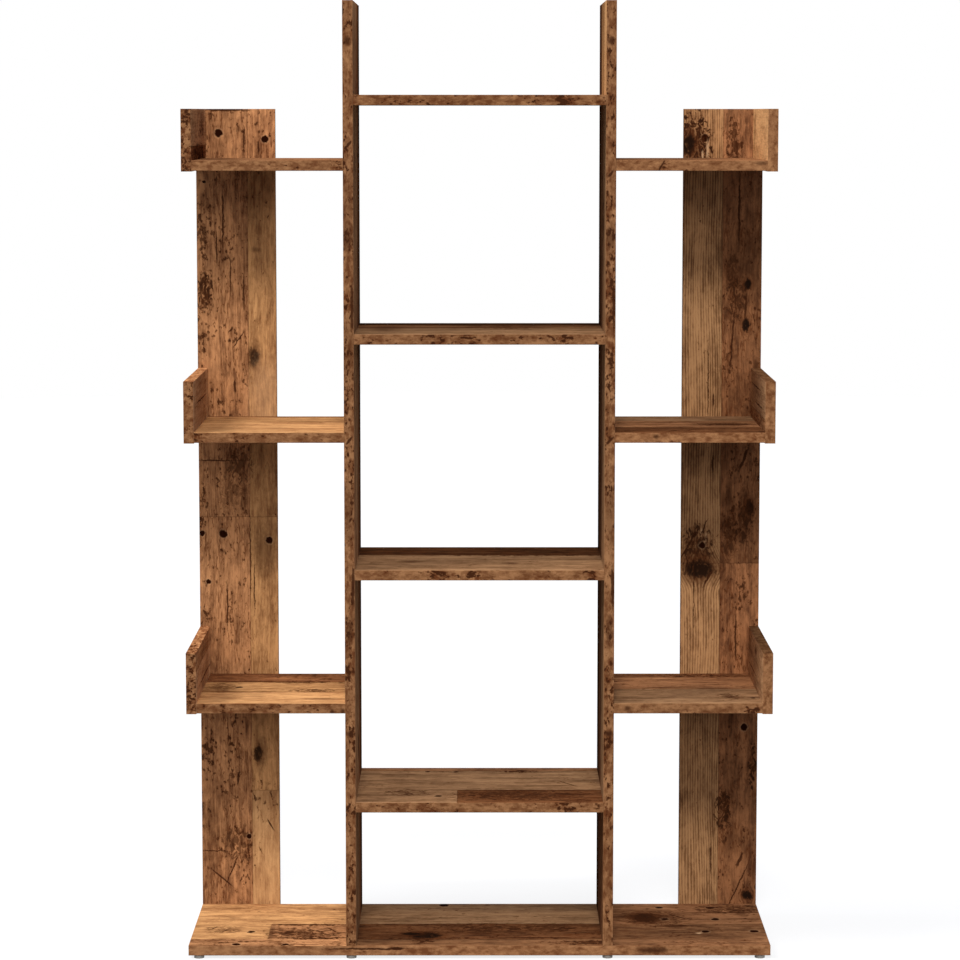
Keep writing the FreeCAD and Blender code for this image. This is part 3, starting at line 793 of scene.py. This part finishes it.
PAINTERS = {
    "nail": draw_nail,
    "knot": draw_knot,
    "burl": draw_burl,
    "crack": draw_crack,
    "stain": draw_stain_and_shade,
    "chip": draw_stain_and_shade,
}


def draw_marks(g, sheet, marks, colour, relief):
    """Paints the stains and painted shadow first, so that knots and holes stay dark over them."""
    for mark in sorted(marks, key=lambda mark: mark.kind != "stain"):
        colour, relief = PAINTERS[mark.kind](g, sheet, mark, colour, relief)
    return colour, relief


def worn_by_patches(g, sheet, pits, patches):
    """The amount of pits, raised inside each patch."""
    for patch in patches:
        covered = g.step(g.add(reach_of(g, sheet.place, patch), sheet.ragged), 1.4, 0.5)
        pits = g.larger(pits, g.times(covered, patch.strength))
    return pits


SEAM_WIDTH = 0.9 * MM
SEAM_SHADE = 0.5
SEAM_DEPTH = -0.15
# Level boards have broader streaks than upright ones.
LEVEL_STREAKS = 0.45
UPRIGHT_STREAKS = 0.3
WOOD_GLOSS = 0.0
WOOD_RELIEF = 1.0 * MM
WOOD_BUMP = 0.7


def outside_plank(g, across, along, plank):
    """The signed distance to a plank's edges, in metres, under zero inside it."""
    everywhere = (-2000, 2000)
    gaps = []
    for value, limits in ((across, plank.across), (along, plank.along)):
        low, high = limits or everywhere
        away = g.math("ABSOLUTE", g.add(value, -(low + high) / 2 * MM))
        gaps.append(g.add(away, -(high - low) / 2 * MM))
    return g.larger(*gaps)


def grain_offset(seed, index=0):
    """Each board, and each plank on it, takes its grain from another place in the noise."""
    return seed * 1.37 + index * 0.613, 0.0, seed * 0.731 + index * 0.417


def lay_planks(g, board, seed, across, along, wobble, facing):
    """The tones, traits and grain offset of the plank at each place, and the seams between the planks."""
    first = board.planks[0]
    pale, dark = lit(first.style.pale, first.light), lit(first.style.dark, first.light)
    traits = (first.style.rings, first.style.cracks, first.style.pits)
    stains = (first.style.stains, 0.0, 0.0)
    shift = grain_offset(seed)
    seam = 0.0
    seam_across = g.add(across, g.centred(wobble, 1.2 * MM))
    seam_along = g.add(along, g.centred(wobble, 2.0 * MM))
    for index, plank in enumerate(board.planks[1:], start=1):
        gap = outside_plank(g, seam_across, seam_along, plank)
        inside = g.math("LESS_THAN", gap, 0.0)
        line = g.step(g.math("ABSOLUTE", gap), SEAM_WIDTH, 0.0)
        outside = g.step(gap, 0.0, 0.1 * MM)
        # A one-sided plank shows on one broad face only; the dividers and centre shelves lay painted shade
        # this way.
        if plank.side:
            shown = g.math("GREATER_THAN", g.times(facing, plank.side), 0.0)
            inside = g.times(inside, shown)
            line = g.times(line, shown)
            outside = g.larger(outside, g.scaled(shown, -1.0, 1.0))
        style = plank.style
        pale = g.mix(inside, pale, lit(style.pale, plank.light))
        dark = g.mix(inside, dark, lit(style.dark, plank.light))
        traits = g.blend(inside, traits, (style.rings, style.cracks, style.pits))
        stains = g.blend(inside, stains, (style.stains, 0.0, 0.0))
        shift = g.blend(inside, shift, grain_offset(seed, index))
        seam = g.larger(line, g.times(seam, outside))
    if len(board.planks) > 1:
        traits = g.split(traits)
        stains = g.split(stains)
    return pale, dark, traits, stains[0], shift, seam


def round_the_knots(g, sheet, marks, across):
    """The place across the grain, bent so that the grain flows round each knot."""
    flowing = across
    for mark in marks:
        if mark.kind == "knot":
            pull = g.times(g.step(reach_of(g, sheet.place, mark, 2.6), 1.0, 0.1), -0.75)
            flowing = g.scaled(g.add(flowing, -mark.across * MM), pull, flowing)
    return flowing


def paint_broad_faces(g, board, seed, position, broad_axis, normal, wobble, sheet, wood):
    """The colour, relief and roughness of the printed planks with their marks."""
    along, across = position[board.along], position[board.across]
    laid = lay_planks(g, board, seed, across, along, wobble, normal[broad_axis])
    pale, dark, (rings, cracks, pits), stains, shift, seam = laid
    pits = worn_by_patches(g, sheet, pits, board.patches)

    flowing = round_the_knots(g, sheet, board.marks, across)
    grain = g.vector("ADD", g.joined(flowing, position[broad_axis], along), shift)
    streaks = LEVEL_STREAKS if board.along == "x" else UPRIGHT_STREAKS
    planks = g.node("ShaderNodeGroup", node_tree=wood)
    for label, value in {
        "Grain": grain, "Pale": pale, "Dark": dark, "Rings": rings, "Cracks": cracks, "Pits": pits,
        "Stains": stains, "Streaks": streaks,
    }.items():
        g.feed(planks.inputs[label], value)
    colour = g.mix(g.times(seam, SEAM_SHADE), planks.outputs["Colour"], KNOT_BROWN)
    relief = g.scaled(seam, SEAM_DEPTH, planks.outputs["Relief"])
    colour, relief = draw_marks(g, sheet, board.marks, colour, relief)
    return colour, relief, planks.outputs["Roughness"]


def paint_narrow_faces(g, band, seed, plain, normal, sheet, banding):
    """The colour and relief of the edge banding with its marks."""
    painted = g.node("ShaderNodeGroup", node_tree=banding)
    g.feed(painted.inputs["Grain"], g.vector("ADD", plain, (seed * 0.91, seed * 0.3, seed * 0.57)))
    g.feed(painted.inputs["Worn"], worn_by_patches(g, sheet, band.pits, band.patches))
    # Painted light and shade: the band's cap scales the colour of the upward narrow faces.
    upward = g.step(normal["z"], 0.5, 0.7)
    g.feed(painted.inputs["Light"], g.scaled(upward, band.light * (band.cap - 1.0), band.light))
    return draw_marks(g, sheet, band.marks, painted.outputs["Colour"], painted.outputs["Relief"])


def wood_material(name, board, seed, wood, banding):
    """The printed planks of one board, with edge banding on its narrow faces."""
    material, g = new_material(name)
    coordinates = g.node("ShaderNodeTexCoord").outputs
    position = dict(zip(AXES, g.split(coordinates["Object"])))
    normal = dict(zip(AXES, g.split(coordinates["Normal"])))
    broad_axis = (set(AXES) - {board.along, board.across}).pop()
    along, across, through = position[board.along], position[board.across], position[broad_axis]

    plain = g.joined(across, through, along)
    wobble = g.noise(plain, (110, 110, 75), 3, 0.65)
    crooked = g.centred(wobble, 5.0 * MM)
    place = g.joined(g.add(across, crooked), g.add(along, g.centred(wobble, -7.0 * MM)), 0.0)
    ragged = g.centred(g.noise(plain, (330, 330, 200), 2), 0.9)
    flames = g.noise(plain, (150, 150, 75), 4, 0.65, 1.2)
    broad_sheet = Sheet(place, ragged, flames)
    band_sheet = Sheet(g.joined(g.add(through, crooked), along, 0.0), ragged, flames)

    colour, relief, rough = paint_broad_faces(
        g, board, seed, position, broad_axis, normal, wobble, broad_sheet, wood)
    band_colour, band_relief = paint_narrow_faces(g, board.band, seed, plain, normal, band_sheet, banding)
    narrow = g.step(g.math("ABSOLUTE", normal[broad_axis]), 0.8, 0.6)
    colour = g.mix(narrow, colour, band_colour)
    relief = g.add(g.times(relief, g.scaled(narrow, -1.0, 1.0)), g.times(band_relief, narrow))
    g.surface({
        "Base Color": colour, "Roughness": rough, "Normal": g.bump(relief, WOOD_RELIEF, WOOD_BUMP),
        "Specular IOR Level": WOOD_GLOSS,
    })
    return material


def glide_material():
    """Grey moulded plastic with a faint grain and scuffs from the floor."""
    material, g = new_material("glide_plastic")
    place = g.node("ShaderNodeTexCoord").outputs["Object"]
    mottle = g.noise(place, (900, 900, 900), 3, 0.6)
    scuff = g.step(g.noise(place, (160, 160, 400), 3, 0.6), 0.52, 0.7)
    colour = g.mix(mottle, tone(112, 108, 100), tone(150, 145, 136))
    colour = g.mix(g.times(scuff, 0.35), colour, tone(90, 84, 76))
    g.surface({
        "Base Color": colour, "Roughness": g.scaled(scuff, 0.2, 0.5),
        "Normal": g.bump(mottle, 0.15 * MM, 0.6),
    })
    return material


def screw_material():
    """Zinc-plated steel, brushed, with darker marks where a key has turned."""
    material, g = new_material("zinc_steel")
    place = g.node("ShaderNodeTexCoord").outputs["Object"]
    brushed = g.noise(place, (2500, 600, 2500), 3, 0.6)
    marked = g.step(g.noise(place, (500, 500, 500), 3, 0.6), 0.5, 0.7)
    colour = g.mix(brushed, tone(150, 150, 148), tone(196, 196, 194))
    colour = g.mix(g.times(marked, 0.4), colour, tone(96, 92, 84))
    g.surface({
        "Base Color": colour, "Roughness": g.scaled(brushed, 0.25, 0.24),
        "Normal": g.bump(brushed, 0.05 * MM, 0.5), "Metallic": 1.0,
    })
    return material


def dress_nodes():
    """Gives every solid of the frame its material."""
    wood = old_wood_group()
    banding = edge_band_group()
    glide = glide_material()
    screw = screw_material()
    names = sorted(frame["nodes"])
    for seed, name in enumerate(names, start=1):
        if name in BOARDS:
            material = wood_material(f"{name}_wood", BOARDS[name], seed, wood, banding)
        else:
            material = glide if name.endswith("glides") else screw
        piece = bpy.data.objects[name]
        if not piece.material_slots:
            piece.data.materials.append(material)
        for slot in piece.material_slots:
            slot.material = material


def seen_directly(g):
    """1 for what the camera sees, straight on or in metal or glass, and 0 for light on matt faces."""
    rays = g.node("ShaderNodeLightPath").outputs
    mirrored = g.larger(rays["Is Glossy Ray"], rays["Is Transmission Ray"])
    return g.larger(rays["Is Camera Ray"], mirrored)


def floor_material():
    """Matt grey for the light, and near white for the camera."""
    material, g = new_material("studio_floor")
    grey = (FLOOR_GREY, FLOOR_GREY, FLOOR_GREY, 1.0)
    matt = g.node("ShaderNodeBsdfDiffuse", {"Color": grey}).outputs[0]
    strength = g.times(seen_directly(g), FLOOR_GLOW)
    glow = g.node("ShaderNodeEmission", {"Strength": strength}).outputs[0]
    both = g.node("ShaderNodeAddShader", {0: matt, 1: glow}).outputs[0]
    g.node("ShaderNodeOutputMaterial", {"Surface": both})
    return material


def make_floor():
    """A wide pale disc. The camera sees it as white, apart from the object's shadow."""
    mesh = bpy.data.meshes.new("studio_floor")
    shape = bmesh.new()
    bmesh.ops.create_circle(shape, cap_ends=True, segments=FLOOR_SEGMENTS, radius=FLOOR_RADIUS)
    shape.to_mesh(mesh)
    shape.free()
    mesh.materials.append(floor_material())
    floor = bpy.data.objects.new("studio_floor", mesh)
    bpy.context.scene.collection.objects.link(floor)


def make_world():
    """An even dim room for the light, and white for what the camera sees."""
    world = bpy.data.worlds.new("studio")
    world.use_nodes = True
    bpy.context.scene.world = world
    g = Graph(world.node_tree)
    seen = seen_directly(g)
    strength = g.scaled(seen, 1.0 - ROOM_LEVEL, ROOM_LEVEL)
    colour = g.mix(seen, ROOM_COLOUR, WHITE)
    room = g.node("ShaderNodeBackground", {"Color": colour, "Strength": strength})
    g.node("ShaderNodeOutputWorld", {"Surface": room.outputs[0]})


def sun_light(lamp):
    """Far light, level over the whole bookcase."""
    light = bpy.data.lights.new(lamp.name, "SUN")
    light.energy = lamp.level
    light.angle = radians(lamp.width)
    return light


def near_light(lamp):
    """A ball of light that is as bright at the top of the bookcase as at its foot."""
    light = bpy.data.lights.new(lamp.name, "POINT")
    light.energy = lamp.level * 4 * pi
    light.shadow_soft_size = lamp.distance * sin(radians(lamp.width / 2))
    light.use_nodes = True
    g = Graph(light.node_tree)
    even = g.node("ShaderNodeLightFalloff", {"Strength": 1.0}).outputs["Constant"]
    glow = g.node("ShaderNodeEmission", {"Color": WHITE, "Strength": even}).outputs[0]
    g.node("ShaderNodeOutputLight", {"Surface": glow})
    return light


def make_lamps():
    for lamp in LAMPS:
        turn, rise = radians(lamp.azimuth), radians(lamp.elevation)
        towards = Vector((sin(turn) * cos(rise), -cos(turn) * cos(rise), sin(rise)))
        light = near_light(lamp) if lamp.distance else sun_light(lamp)
        piece = bpy.data.objects.new(lamp.name, light)
        piece.location = towards * (lamp.distance or SUN_DISTANCE)
        piece.rotation_euler = towards.to_track_quat("Z", "Y").to_euler()
        bpy.context.scene.collection.objects.link(piece)


def make_camera():
    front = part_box("base_panel")[0][1]
    lens = bpy.data.cameras.new("camera")
    lens.lens = LENS
    lens.sensor_width = SENSOR
    lens.shift_y = LENS_SHIFT
    camera = bpy.data.objects.new("camera", lens)
    camera.location = (CAMERA_SIDE, front - CAMERA_AHEAD, CAMERA_HEIGHT)
    camera.rotation_euler = (radians(90 - CAMERA_TILT), 0.0, radians(-CAMERA_TURN))
    bpy.context.scene.collection.objects.link(camera)
    bpy.context.scene.camera = camera


make_camera()
make_world()
make_lamps()
make_floor()
dress_nodes()
bpy.context.scene.view_settings.view_transform = "Standard"
